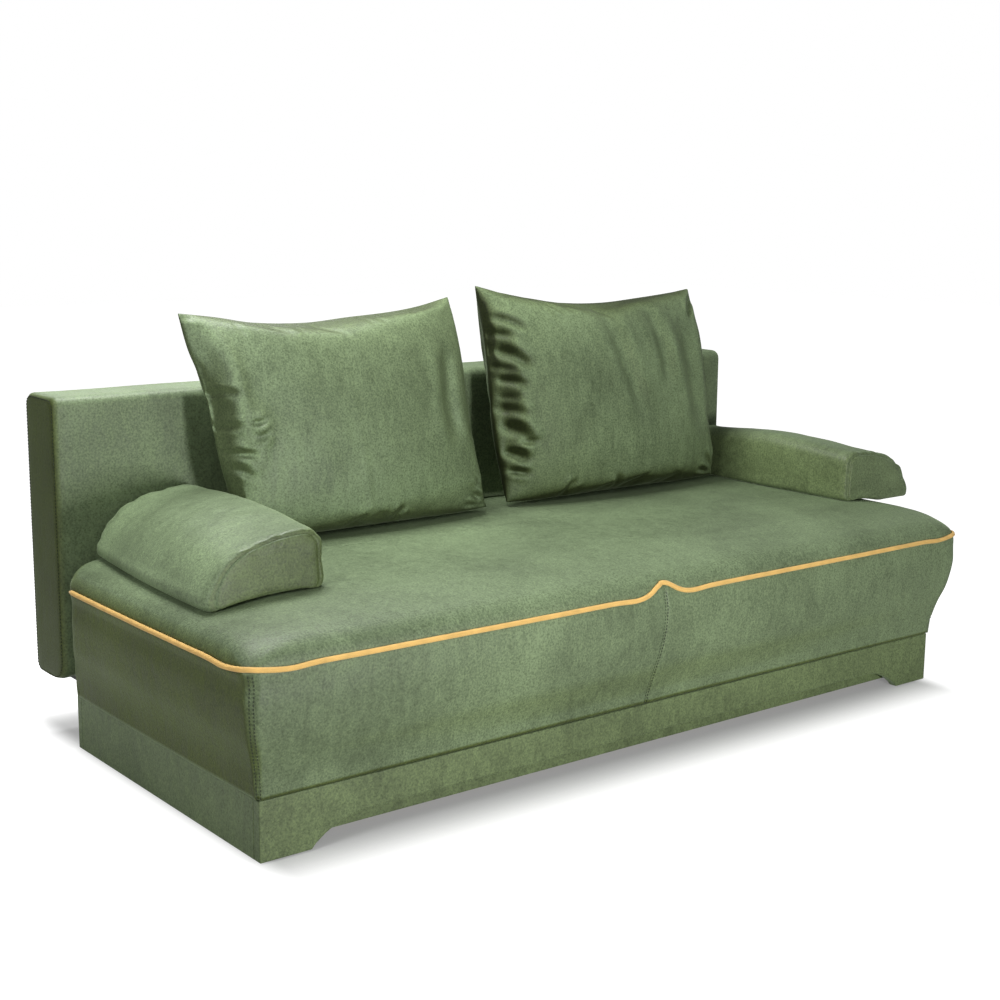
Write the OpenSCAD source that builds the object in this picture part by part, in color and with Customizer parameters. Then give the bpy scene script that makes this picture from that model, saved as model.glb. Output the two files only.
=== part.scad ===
// Three-seat sofa bed. An upholstered seat box stands on four swing arms over
// an arched plinth with a storage box. Two loose pillows lean on the back and
// two loose bolsters make the armrests. Pulled forward, the seat swings over
// and the back folds down flat behind it.
// Lengths are in millimetres, X across, Y from front to rear, Z up.

/* [Plinth] */
// Width across the outer side faces
plinth_w = 1920; // [1800:10:2000]
// Depth from front face to rear face
plinth_d = 786; // [760:2:810]
// Height of the top edge above the floor
plinth_top = 122; // [118:1:124]
// Height of the lower edge, which is the glide thickness
plinth_base = 3; // [2:0.5:6]
// Thickness of the padded front and rear boards
front_board = 22; // [16:1:24]
// Thickness of the side boards
side_board = 25; // [20:1:25]
// Height of the arch in the front board
arch_z = 55; // [40:1:60]
// Half width of the arch where it meets the floor
arch_foot_x = 850; // [800:5:880]
// Half width of the level top of the arch
arch_top_x = 735; // [700:5:760]

/* [Storage box] */
// Distance of the storage front behind the plinth front
storage_setback = 40; // [30:1:60]
// Lower edge of the storage front and floor
storage_z = 16; // [12:1:20]
// Thickness of the storage front
storage_front_t = 12; // [8:1:16]
// Thickness of the storage floor
storage_floor_t = 6; // [4:1:8]

/* [Swing arms] */
// Distance the seat travels forward
travel = 288; // [280:1:300]
// Angle the arms turn between sofa and bed
arm_swing = 100; // [96:1:104]
// Height of the lower pivots
low_pivot_z = 56; // [52:1:60]
// Position of the front lower pivot along Y
front_pivot_y = -150; // [-180:5:-120]
// Position of the rear lower pivot along Y
rear_pivot_y = 130; // [120:5:150]
// Radius of the pivot studs
stud_r = 5; // [4:0.5:6]
// Radial clearance of a hole that turns on a stud
stud_gap = 0.08; // [0.02:0.01:0.1]
// Half width of an arm
arm_r = 13; // [11:1:14]

/* [Seat] */
// Lower edge of the seat upholstery
seat_base = 126; // [125:1:130]
// Top of the seat rails
rail_top = 246; // [240:1:250]
// Lower edge of the seat rails
rail_base = 130; // [128:1:134]
// Thickness of the seat rails
rail_t = 20; // [16:1:22]
// Top of the seat slats
slat_top = 258; // [254:1:262]
// Top of the foam core
foam_top = 380; // [370:1:390]
// Rear face of the rear seat rail
rail_rear_y = 331; // [325:1:335]
// Swell of the seat ends halfway along them
end_bow = 4; // [1:1:8]

/* [Back] */
// Front face of the back
back_front = 393; // [390:1:400]
// Thickness of the back
back_t = 146; // [140:1:150]
// Lower edge of the back
back_base = 152; // [150:1:156]
// Upper edge of the back
back_top = 774; // [740:1:780]
// Rounding of the lower front edge of the back, which swings past the seat
back_round = 42; // [36:1:46]
// Rounding of the other long edges of the back
back_edge = 20; // [14:1:24]
// Depth of the fold pivot behind the front face
fold_y = 142; // [142:1:144]
// Height of the top face of the back once it is folded flat
bed_z = 436; // [432:1:438]

/* [Cushions] */
// Front bulge of a pillow
pillow_front = 104; // [80:1:120]
// Rear bulge of a pillow
pillow_rear = 78; // [60:1:82]
// Front end of the bolsters along Y
bolster_front = -194; // [-220:1:-150]
// Rear end of the bolsters along Y
bolster_rear = 386; // [360:1:388]

/* [Piping] */
// Radius of the piping cord
piping_r = 5; // [4:0.5:6]
// Height of the piping above the floor
piping_z = 371; // [366:1:376]
// Rise of the piping at the middle of the front
piping_peak = 23; // [0:1:30]

/* [Hidden] */
// Offset that puts the row origin under the middle of the whole object
row_x = -64.18;
row_y = -53.22;
px = plinth_w / 2;
py = plinth_d / 2;
half_swing = arm_swing / 2;
arm_len = travel / 2 / sin(half_swing);
pivot_rise = arm_len * cos(half_swing);
high_pivot_z = low_pivot_z + pivot_rise;
seat_x = px - 25;
plate_t = 4;
plate_x = seat_x - plate_t;
arm_t = 6;
arm_x = plate_x - 1 - arm_t;
head_r = 9;
head_t = 3;
fold_pivot = [back_front + fold_y, bed_z - fold_y];
storage_y = -py + storage_setback;
rear_notch_w = 17;
rail_front_y = -388;
rail_x = seat_x + rail_t;
foam_x = 938;
foam_front = -374;
foam_rear = 318;
rear_edge_z = 156;

// Upholstery outline of the seat, one row per height:
// height, left edge, right edge, front edge at the corners, extra front bulge, rear edge
SEAT = [
    [126, -966, 965, -399, -5, 386],
    [150, -968, 967, -401, -2, 386],
    [180, -972, 974, -405, 4, 381],
    [211, -979, 984, -412, 8, 366],
    [242, -987, 1001, -419, 9, 353],
    [271, -991, 1012, -423, 10, 345],
    [309, -994, 1021, -426, 11, 341],
    [344, -992, 1021, -425, 12, 341],
    [371, -996, 1021, -425, 8, 344],
    [385, -993, 1019, -422, 7, 354],
    [397, -987, 1014, -417, 6, 366],
    [407, -978, 1008, -408, 5, 379],
    [416, -963, 1002, -393, 4, 386],
    [424, -938, 993, -368, 3, 388],
    [431, -904, 976, -334, 3, 388],
    [437, -864, 948, -294, 2, 386],
    [441, -819, 890, -249, 1, 380],
    [443, -760, 800, -190, 1, 362]
];
// Corner rounding of the seat at each of those heights
SEAT_R = [14, 15, 16, 18, 20, 22, 24, 25, 28, 36, 50, 64, 76, 80, 80, 80, 80, 80];
// Stations along the front edge, as fractions of the half width
FRONT = [-0.93, -0.86, -0.75, -0.6, -0.44, -0.3, -0.19, -0.12, -0.08, -0.045, -0.02, 0,
    0.02, 0.045, 0.08, 0.12, 0.19, 0.3, 0.44, 0.6, 0.75, 0.86, 0.93];
SIDE = [0.2, 0.4, 0.6, 0.8];
// Stations along the rear edge, close together where its lower edge rises
REAR = [0.008, 0.02, 0.35, 0.65, 0.98, 0.992];
ARC = 4;

// Outlines of the pillows in their own leaning plane: across, up
PILLOW_L = [
    [-640, 8], [-560, 5], [-440, 4], [-300, 4], [-160, 4], [-32, 4], [44, 8],
    [22, 60], [14, 140], [12, 200], [6, 300], [0, 380], [-2, 464], [0, 527],
    [-86, 508], [-175, 496], [-297, 488], [-415, 480], [-542, 485], [-641, 501], [-726, 513],
    [-712, 440], [-694, 383], [-679, 321], [-672, 250], [-664, 180], [-648, 110], [-640, 50]
];
PILLOW_R = [
    [112, 8], [188, 5], [287, 5], [424, 6], [565, 6], [712, 5], [835, 9],
    [822, 77], [821, 160], [816, 220], [812, 270], [804, 380], [808, 450], [812, 522],
    [742, 513], [631, 503], [487, 494], [351, 498], [254, 511], [161, 529], [81, 549],
    [90, 487], [96, 413], [96, 339], [95, 265], [95, 166], [104, 91], [108, 40]
];
// Shrink of the outline and share of the bulge, from the seam to the middle
PILLOW_RING = [[0.965, 0.2], [0.89, 0.44], [0.76, 0.69], [0.56, 0.89], [0.3, 0.985]];

// Cross section of a bolster above its underside: outward from the inner face, up
BOLSTER = [[252, -18], [259, -8], [261, 6], [254, 25], [243, 44], [228, 64], [206, 83],
    [172, 99], [136, 109], [102, 116], [60, 120], [30, 119], [13, 110], [5, 97], [0, 40]];
// Places across the underside of a bolster
UNDER = [4, 45, 80, 115, 140, 165, 190, 215, 240];
// Ends of a bolster: distance from the end, share of the full size there
BOLSTER_END = [[0, 0.87], [4, 0.94], [12, 0.985], [30, 1], [90, 1], [180, 1]];

module row() {
    translate([row_x, row_y, 0]) children();
}

// Box from its low corner to its high corner
module box(a, b) {
    translate(a) cube(b - a);
}

// Copy on the left and on the right of the middle plane
module both() {
    children();
    mirror([1, 0, 0]) children();
}

// Plate drawn in the Y-Z plane with its left face at x and thickness t
module plate_yz(x, t) {
    translate([x, 0, 0]) rotate([90, 0, 90]) linear_extrude(t) children();
}

// Closed skin over rings of equal length, each turning left seen from the far end
module loft(rings) {
    n = len(rings[0]);
    m = len(rings);
    skin = [for (i = [0 : m - 2]) for (j = [0 : n - 1]) each [
        [i * n + j, (i + 1) * n + (j + 1) % n, i * n + (j + 1) % n],
        [i * n + j, (i + 1) * n + j, (i + 1) * n + (j + 1) % n]
    ]];
    first = [for (j = [0 : n - 1]) j];
    last = [for (j = [n - 1 : -1 : 0]) (m - 1) * n + j];
    polyhedron([for (r = rings) each r], concat(skin, [first, last]));
}

function arc(cx, cy, r, a) = [for (i = [0 : ARC])
    [cx + r * cos(a + 90 * i / ARC), cy + r * sin(a + 90 * i / ARC)]];
function mix(a, b, t) = a + (b - a) * t;
function swell(t) = 4 * t * (1 - t);
function at(z, col) = lookup(z, [for (s = SEAT) [s[0], s[col]]]);
function radius_at(z) = lookup(z, [for (i = [0 : len(SEAT) - 1]) [SEAT[i][0], SEAT_R[i]]]);

// Outline of the seat at one height, from the front left corner round by the right
function seat_ring(z) =
    let (xl = at(z, 1), xr = at(z, 2), yf = at(z, 3), b = at(z, 4), yr = at(z, 5), r = radius_at(z),
        c = (xl + xr) / 2, h = (xr - xl) / 2 - r)
    [for (p = concat(
        arc(xl + r, yf + r, r, 180),
        [for (f = FRONT) [c + f * h, yf - b * (1 - f * f)]],
        arc(xr - r, yf + r, r, 270),
        [for (s = SIDE) [xr + end_bow * swell(s), mix(yf + r, yr - r, s)]],
        arc(xr - r, yr - r, r, 0),
        [for (s = REAR) [mix(xr - r, xl + r, s), yr + swell(s)]],
        arc(xl + r, yr - r, r, 90),
        [for (s = SIDE) [xl - end_bow * swell(s), mix(yr - r, yf + r, s)]]
    )) [p[0], p[1], z]];

// Outline of the hollow under the seat at one height, point for point as the seat outline
function hollow_ring(x, y0, y1, z) =
    let (r = 2.5, h = x - r)
    [for (p = concat(
        arc(-h, y0 + r, r, 180),
        [for (f = FRONT) [f * h, y0 - 0.4 * (1 - f * f)]],
        arc(h, y0 + r, r, 270),
        [for (s = SIDE) [x + 0.4 * swell(s), mix(y0 + r, y1 - r, s)]],
        arc(h, y1 - r, r, 0),
        [for (s = REAR) [mix(h, -h, s), y1 + 0.4 * swell(s)]],
        arc(-h, y1 - r, r, 90),
        [for (s = SIDE) [-x - 0.4 * swell(s), mix(y1 - r, y0 + r, s)]]
    )) [p[0], p[1], z]];

// Lower edge raised along the rear between the corners, where the brackets pass
function raise_rear(ring) =
    let (first = len(FRONT) + len(SIDE) + 3 * (ARC + 1), last = first + len(REAR) - 1)
    [for (j = [0 : len(ring) - 1]) [ring[j][0], ring[j][1],
        j < first || j > last ? ring[j][2] : max(ring[j][2], rear_edge_z + 0.1 * (ring[j][2] - seat_base))]];

// Height of the piping: a peak at the middle of the front, a small one at each corner
function bump(d, w) = exp(-pow(d / w, 2));
function piping_height(p) = piping_z + 2
    + (p[1] < -380 ? piping_peak * bump(p[0], 36) - 3 * bump(abs(p[0]) - 85, 34) : 0)
    + 5 * bump(norm([abs(p[0] - 16) - 1000, p[1] + 415]), 32)
    - 3 * bump(norm([abs(p[0] - 16) - 1000, p[1] + 415]) - 80, 34);

module plinth_board() {
    foot = [[arch_foot_x, plinth_base], [arch_foot_x - 9, 13], [arch_foot_x - 30, 28],
        [arch_foot_x - 50, 38], [arch_foot_x - 80, 49], [arch_top_x, arch_z]];
    translate([0, -py + front_board, 0]) rotate([90, 0, 0]) linear_extrude(front_board)
        polygon(concat([[-px, plinth_base], [-px, plinth_top], [px, plinth_top], [px, plinth_base]],
            foot, [for (i = [len(foot) - 1 : -1 : 0]) [-foot[i][0], foot[i][1]]]));
}

module plinth_front() {
    color([0.33, 0.4, 0.29]) row() plinth_board();
}

module plinth_rear() {
    color([0.33, 0.4, 0.29]) row() mirror([0, 1, 0]) plinth_board();
}

module plinth_side() {
    box([px - side_board, -py + front_board, plinth_base], [px, py - front_board, plinth_top]);
}

module plinth_left() {
    color([0.33, 0.4, 0.29]) row() mirror([1, 0, 0]) plinth_side();
}

module plinth_right() {
    color([0.33, 0.4, 0.29]) row() plinth_side();
}

// Blocks that join the boards, inside the four corners
module corner_blocks() {
    color([0.76, 0.62, 0.43]) row() both() {
        box([seat_x - 40, -py + front_board, 24], [seat_x, storage_y, plinth_top - 4]);
        box([seat_x - 40, py - front_board - 40, 24], [seat_x, py - front_board, plinth_top - 4]);
    }
}

module glides() {
    color([0.08, 0.08, 0.08]) row() both() for (y = [-py + 40, py - 40])
        translate([px - 30, y, 0]) cylinder(h = plinth_base, r = 16, $fn = 48);
}

module storage_front() {
    color([0.33, 0.4, 0.29]) row()
        box([-seat_x, storage_y, storage_z], [seat_x, storage_y + storage_front_t, plinth_top - 4]);
}

module storage_floor() {
    color([0.62, 0.5, 0.36]) row()
        box([-seat_x, storage_y + storage_front_t, storage_z],
            [seat_x, py - front_board, storage_z + storage_floor_t]);
}

// Battens under the storage floor, clear of the ground
module storage_battens() {
    color([0.76, 0.62, 0.43]) row() for (x = [-seat_x + 12, -320, 320, seat_x - 12])
        box([x - 12, storage_y + 120, 5], [x + 12, py - front_board, storage_z]);
}

module base_plate() {
    plate_yz(plate_x, plate_t) difference() {
        polygon([[-190, 27], [170, 27], [170, 62], [150, 76], [110, 76], [90, 48],
            [-110, 48], [-130, 76], [-170, 76], [-190, 62]]);
        for (y = [-178, -60, 40, 158]) translate([y, 36]) circle(r = 2.8, $fn = 32);
    }
}

module base_plate_left() {
    color([0.2, 0.2, 0.21]) row() mirror([1, 0, 0]) base_plate();
}

module base_plate_right() {
    color([0.2, 0.2, 0.21]) row() base_plate();
}

// Stud welded to a plate at x, reaching inwards with a head at its end
module stud(x, y, z, reach) {
    translate([x - reach, y, z]) rotate([0, 90, 0]) {
        cylinder(h = reach, r = stud_r, $fn = 48);
        translate([0, 0, -head_t]) cylinder(h = head_t, r = head_r, $fn = 48);
    }
}

module base_studs() {
    for (y = [front_pivot_y, rear_pivot_y]) stud(plate_x, y, low_pivot_z, arm_t + 1.5);
}

module base_studs_left() {
    color([0.6, 0.6, 0.62]) row() mirror([1, 0, 0]) base_studs();
}

module base_studs_right() {
    color([0.6, 0.6, 0.62]) row() base_studs();
}

// Wood screw through a plate at x, with its head on the inner face
module screw(x, y, z) {
    translate([x, y, z]) rotate([0, 90, 0]) {
        translate([0, 0, -2]) cylinder(h = 2, r = 4.5, $fn = 32);
        cylinder(h = 20, r = 2.5, $fn = 32);
    }
}

module base_screws() {
    color([0.75, 0.7, 0.5]) row() both() for (y = [-178, -60, 40, 158]) screw(plate_x, y, 36);
}

// Arm between a lower pivot and the upper pivot half the travel behind it
module swing_arm(y) {
    a = [y, low_pivot_z];
    b = [y + travel / 2, high_pivot_z];
    plate_yz(arm_x, arm_t) difference() {
        union() {
            for (p = [a, b]) translate(p) circle(r = arm_r, $fn = 64);
            translate(a) rotate(90 - half_swing) translate([0, -arm_r + 1]) square([arm_len, 2 * arm_r - 2]);
        }
        for (p = [a, b]) translate(p) circle(r = stud_r + stud_gap, $fn = 64);
    }
}

module front_arm_left() {
    color([0.2, 0.2, 0.21]) row() mirror([1, 0, 0]) swing_arm(front_pivot_y);
}

module front_arm_right() {
    color([0.2, 0.2, 0.21]) row() swing_arm(front_pivot_y);
}

module rear_arm_left() {
    color([0.2, 0.2, 0.21]) row() mirror([1, 0, 0]) swing_arm(rear_pivot_y);
}

module rear_arm_right() {
    color([0.2, 0.2, 0.21]) row() swing_arm(rear_pivot_y);
}

module seat_rail_front() {
    color([0.76, 0.62, 0.43]) row()
        box([-rail_x, rail_front_y, rail_base], [rail_x, rail_front_y + rail_t, rail_top]);
}

module seat_rail_rear() {
    color([0.76, 0.62, 0.43]) row() difference() {
        box([-rail_x, rail_rear_y - rail_t, rail_base], [rail_x, rail_rear_y, rail_top]);
        both() box([seat_x - rear_notch_w, rail_rear_y - rail_t - 1, rail_base - 1],
            [seat_x + 1, rail_rear_y + 1, rail_base + 40]);
    }
}

module seat_rail_side() {
    box([seat_x, rail_front_y + rail_t, rail_base], [rail_x, rail_rear_y - rail_t, rail_top]);
}

module seat_rail_left() {
    color([0.76, 0.62, 0.43]) row() mirror([1, 0, 0]) seat_rail_side();
}

module seat_rail_right() {
    color([0.76, 0.62, 0.43]) row() seat_rail_side();
}

module seat_cross_rails() {
    color([0.76, 0.62, 0.43]) row() both()
        box([310, rail_front_y + rail_t, 172], [330, rail_rear_y - rail_t, rail_top]);
}

module seat_slats() {
    color([0.82, 0.7, 0.5]) row() for (i = [-6 : 6])
        box([i * 146 - 30, rail_front_y, rail_top], [i * 146 + 30, rail_rear_y, slat_top]);
}

module seat_foam() {
    color([0.88, 0.85, 0.7]) row()
        box([-foam_x, foam_front, slat_top], [foam_x, foam_rear, foam_top]);
}

// One skin: down the hollow from its roof, under the rim, then up the outside to the crown
module seat_cushion() {
    frame_gap = 1.5;
    x = rail_x + frame_gap;
    y0 = rail_front_y - frame_gap;
    y1 = rail_rear_y + frame_gap;
    color([0.35, 0.43, 0.3]) row() loft(concat([
        hollow_ring(foam_x + 1, foam_front - 1, foam_rear + 1, foam_top),
        hollow_ring(foam_x + 1, foam_front - 1, foam_rear + 1, slat_top + 0.5),
        hollow_ring(x, y0, y1, slat_top + 0.5),
        raise_rear(hollow_ring(x, y0, y1, seat_base))
    ], [for (s = SEAT) raise_rear(seat_ring(s[0]))]));
}

// Cord sewn round the left side, the front and the right side of the seat
module seat_piping() {
    base = seat_ring(piping_z);
    n = len(base);
    start = n - len(SIDE) - 2;
    count = n - len(REAR) - ARC - 3;
    path = [for (k = [0 : count]) let (j = (start + k) % n, z = piping_height(base[j])) seat_ring(z)[j]];
    color([0.85, 0.62, 0.25]) row() loft([for (i = [0 : count]) let (
        d = path[min(i + 1, count)] - path[max(i - 1, 0)],
        t = d / norm(d),
        s = cross(t, [0, 0, 1]) / norm(cross(t, [0, 0, 1])),
        u = cross(s, t))
        [for (a = [0 : 45 : 315]) path[i] + s * (1.5 + piping_r * cos(a)) + u * piping_r * sin(a)]]);
}

// Plate on the side rail that reaches under the back and up to the fold pivot
module seat_bracket() {
    plate_yz(plate_x, plate_t) difference() {
        union() {
            translate([front_pivot_y + travel / 2 - 34, 140]) square([340, 68]);
            translate([220, 136]) square([fold_pivot[0] + 10 - 220, 14]);
            translate([fold_pivot[0] - 10, 136]) square([20, fold_pivot[1] - 136]);
            translate(fold_pivot) circle(r = 11, $fn = 64);
        }
        translate(fold_pivot) circle(r = stud_r + stud_gap, $fn = 64);
        for (y = [-20, 80, 180, 280]) translate([y, 199]) circle(r = 2.8, $fn = 32);
    }
}

module seat_bracket_left() {
    color([0.2, 0.2, 0.21]) row() mirror([1, 0, 0]) seat_bracket();
}

module seat_bracket_right() {
    color([0.2, 0.2, 0.21]) row() seat_bracket();
}

module seat_studs() {
    for (y = [front_pivot_y, rear_pivot_y])
        stud(plate_x, y + travel / 2, high_pivot_z, arm_t + 1.5);
}

module seat_studs_left() {
    color([0.6, 0.6, 0.62]) row() mirror([1, 0, 0]) seat_studs();
}

module seat_studs_right() {
    color([0.6, 0.6, 0.62]) row() seat_studs();
}

module seat_screws() {
    color([0.75, 0.7, 0.5]) row() both() for (y = [-20, 80, 180, 280]) screw(plate_x, y, 199);
}

// Hollow inside the upholstery of the back
back_in = [back_front + 50, back_base + 24];
back_out = [back_front + 138, back_top - 30];
back_rail_x = 960;
back_rail_y = back_in[0] + 11;

module back_rail_top() {
    color([0.76, 0.62, 0.43]) row() box([-back_rail_x + rail_t, back_rail_y, back_out[1] - rail_t],
        [back_rail_x - rail_t, back_out[0] - 4, back_out[1]]);
}

module back_rail_bottom() {
    color([0.76, 0.62, 0.43]) row() box([-back_rail_x + rail_t, back_rail_y, back_in[1]],
        [back_rail_x - rail_t, back_out[0] - 12, back_in[1] + rail_t]);
}

module back_rail_side() {
    box([back_rail_x - rail_t, back_rail_y, back_in[1]], [back_rail_x, back_out[0] - 4, back_out[1]]);
}

module back_rail_left() {
    color([0.76, 0.62, 0.43]) row() mirror([1, 0, 0]) back_rail_side();
}

module back_rail_right() {
    color([0.76, 0.62, 0.43]) row() back_rail_side();
}

module back_uprights() {
    color([0.76, 0.62, 0.43]) row() both()
        box([310, back_rail_y, back_in[1] + rail_t], [330, back_out[0] - 4, back_out[1] - rail_t]);
}

module back_slats() {
    color([0.82, 0.7, 0.5]) row() for (i = [-6 : 6])
        box([i * 146 - 30, back_in[0], back_in[1]], [i * 146 + 30, back_rail_y, back_out[1]]);
}

module back_rear_panel() {
    color([0.4, 0.3, 0.22]) row() box([-back_rail_x, back_out[0] - 4, fold_pivot[1] + 26],
        [back_rail_x, back_out[0], back_out[1]]);
}

// Cross section of the back at x: drawn in by a full inset at the front and the top,
// by a third of it at the rear and below
function back_ring(x, inset) =
    let (y0 = back_front + inset, y1 = back_front + back_t - inset / 3,
        z0 = back_base + inset / 3, z1 = back_top - inset, r = back_round, e = back_edge)
    [for (p = concat(arc(y0 + r, z0 + r, r, 180), arc(y1 - e, z0 + e, e, 270),
        arc(y1 - e, z1 - e, e, 0), arc(y0 + e, z1 - e, e, 90))) [x, p[0], p[1]]];

module back_cushion() {
    color([0.35, 0.43, 0.3]) row() difference() {
        loft([back_ring(-987, 10), back_ring(-983, 5), back_ring(-974, 2), back_ring(-940, 0),
            back_ring(954, 0), back_ring(988, 2), back_ring(997, 5), back_ring(1001, 10)]);
        box([-back_rail_x, back_in[0], back_in[1]], [back_rail_x, back_out[0], back_out[1]]);
        both() box([plate_x - 5, fold_pivot[0] - 14, back_base - 1],
            [back_rail_x - rail_t, back_front + back_t + 1, fold_pivot[1] + 18]);
    }
}

// Plate on the side rail of the back, with the stud the bracket turns on
module hinge_plate() {
    x = back_rail_x - rail_t - plate_t;
    plate_yz(x, plate_t) {
        translate([fold_pivot[0] - 60, fold_pivot[1] - 30]) square([55, 54]);
        translate(fold_pivot) circle(r = 8, $fn = 64);
    }
    stud(x, fold_pivot[0], fold_pivot[1], plate_t + 2);
}

module hinge_plate_left() {
    color([0.6, 0.6, 0.62]) row() mirror([1, 0, 0]) hinge_plate();
}

module hinge_plate_right() {
    color([0.6, 0.6, 0.62]) row() hinge_plate();
}

// Leaning pillow: seam outline in the middle, a bulge to the front and one to the rear
module pillow(outline, foot_y, lean) {
    c = [for (k = [0, 1]) (min([for (p = outline) p[k]]) + max([for (p = outline) p[k]])) / 2];
    up = [0, sin(lean), cos(lean)];
    out = [0, cos(lean), -sin(lean)];
    rings = concat(
        [for (r = PILLOW_RING) [r[0], -pillow_front * r[1]]],
        [[1, 0]],
        [for (r = PILLOW_RING) [r[0], pillow_rear * r[1]]]);
    order = concat([for (i = [len(PILLOW_RING) - 1 : -1 : 0]) i],
        [for (i = [len(PILLOW_RING) : len(rings) - 1]) i]);
    loft([for (i = order) [for (j = [len(outline) - 1 : -1 : 0]) let (
        q = [mix(c[0], outline[j][0], rings[i][0]), mix(c[1], outline[j][1], rings[i][0])])
        [q[0], foot_y, 442] + up * q[1] + out * rings[i][1]]]);
}

module pillow_left() {
    color([0.38, 0.46, 0.33]) row() pillow(PILLOW_L, 235, 11.6);
}

module pillow_right() {
    color([0.38, 0.46, 0.33]) row() pillow(PILLOW_R, 250, 10.2);
}

// Height of the upper side of the seat at x, away from its front and rear
function roll_z(x) = lookup(abs(x - 17) - end_bow, [for (i = [len(SEAT) - 1 : -1 : 9])
    [x < 17 ? 17 - SEAT[i][1] : SEAT[i][2] - 17, SEAT[i][0]]]);

// Bolster from front to rear, side is -1 on the left and 1 on the right. It rests on the
// seat, hangs over no lower than hang, is taller by tall and puffs up by puff in the middle
module bolster(side, x_front, x_rear, hang, tall, wide, puff) {
    profile = concat([for (u = UNDER) [u, -60]], BOLSTER);
    m = [110, 52];
    span = bolster_rear - bolster_front;
    n = len(BOLSTER_END);
    stations = concat(BOLSTER_END, [[span / 2, 1]],
        [for (i = [n - 1 : -1 : 0]) [span - BOLSTER_END[i][0], BOLSTER_END[i][1]]]);
    loft([for (s = stations) let (
        t = s[0] / span,
        w = s[1] + wide * swell(t),
        h = s[1] * tall + puff * pow(swell(t), 2))
        [for (k = [0 : len(profile) - 1]) let (
            p = profile[side > 0 ? len(profile) - 1 - k : k],
            x = mix(x_front, x_rear, t) + side * mix(m[0], p[0], w),
            z = 441 + (p[1] > 9 ? mix(m[1], p[1], h) : p[1]))
            [x, bolster_front + s[0], max(z, 1.2 + max(roll_z(x), hang))]]]);
}

module bolster_left() {
    color([0.38, 0.46, 0.33]) row() bolster(-1, -690, -650, 420, 1.02, 0.08, 0.15);
}

module bolster_right() {
    color([0.38, 0.46, 0.33]) row() bolster(1, 860, 868, 428, 1.07, 0.06, 0.25);
}

plinth_front();
plinth_rear();
plinth_left();
plinth_right();
corner_blocks();
glides();
storage_front();
storage_floor();
storage_battens();
base_plate_left();
base_plate_right();
base_studs_left();
base_studs_right();
base_screws();
front_arm_left();
front_arm_right();
rear_arm_left();
rear_arm_right();
seat_rail_front();
seat_rail_rear();
seat_rail_left();
seat_rail_right();
seat_cross_rails();
seat_slats();
seat_foam();
seat_cushion();
seat_piping();
seat_bracket_left();
seat_bracket_right();
seat_studs_left();
seat_studs_right();
seat_screws();
back_rail_top();
back_rail_bottom();
back_rail_left();
back_rail_right();
back_uprights();
back_slats();
back_rear_panel();
back_cushion();
hinge_plate_left();
hinge_plate_right();
pillow_left();
pillow_right();
bolster_left();
bolster_right();
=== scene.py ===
"""Three-seat sofa bed in green velvet with yellow piping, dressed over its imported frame.

Lengths in the making are millimetres from the middle of the plinth, X across, Y to the rear and
Z up. Soft pieces are curved skins through the corners of the CAD solids that they stand for.
"""

import math

import bmesh
import bpy
import numpy as np
from mathutils import Matrix, Vector, noise


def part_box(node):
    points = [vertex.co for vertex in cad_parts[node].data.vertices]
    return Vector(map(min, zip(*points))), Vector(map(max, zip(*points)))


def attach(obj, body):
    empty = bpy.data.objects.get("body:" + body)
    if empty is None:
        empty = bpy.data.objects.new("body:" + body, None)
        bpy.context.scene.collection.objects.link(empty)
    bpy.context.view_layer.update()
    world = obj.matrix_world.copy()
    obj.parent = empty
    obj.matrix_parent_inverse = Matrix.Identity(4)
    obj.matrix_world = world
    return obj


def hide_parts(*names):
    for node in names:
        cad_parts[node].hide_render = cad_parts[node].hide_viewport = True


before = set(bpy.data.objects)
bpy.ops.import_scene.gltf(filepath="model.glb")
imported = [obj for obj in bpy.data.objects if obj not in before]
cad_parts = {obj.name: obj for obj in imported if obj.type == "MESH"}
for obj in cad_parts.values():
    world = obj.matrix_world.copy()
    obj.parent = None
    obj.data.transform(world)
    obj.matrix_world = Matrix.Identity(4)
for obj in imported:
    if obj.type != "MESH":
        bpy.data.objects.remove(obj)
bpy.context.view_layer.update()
MM = 0.001
JOINED_WITHIN = 0.05 * MM
SHORTEST_EDGE = 0.01 * MM
LARGEST_FACE = 8
SEED_STEP = 17.3


plinth_low, plinth_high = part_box("plinth_front")
plinth_rear_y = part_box("plinth_rear")[1].y
ORIGIN = np.array([(plinth_low.x + plinth_high.x) / 2, (plinth_low.y + plinth_rear_y) / 2, 0.0])


def points_mm(obj):
    """Points of an object in millimetres from the middle of the plinth."""
    co = np.empty(len(obj.data.vertices) * 3)
    obj.data.vertices.foreach_get("co", co)
    return (co.reshape(-1, 3) - ORIGIN) / MM


def corners_mm(node):
    """Corners of a CAD node in millimetres from the middle of the plinth."""
    return points_mm(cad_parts[node])


def box_mm(node):
    """Low and high corner of the box round a CAD node, in the same millimetres."""
    low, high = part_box(node)
    return (np.array(low) - ORIGIN) / MM, (np.array(high) - ORIGIN) / MM


# -------- curves and meshes


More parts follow.
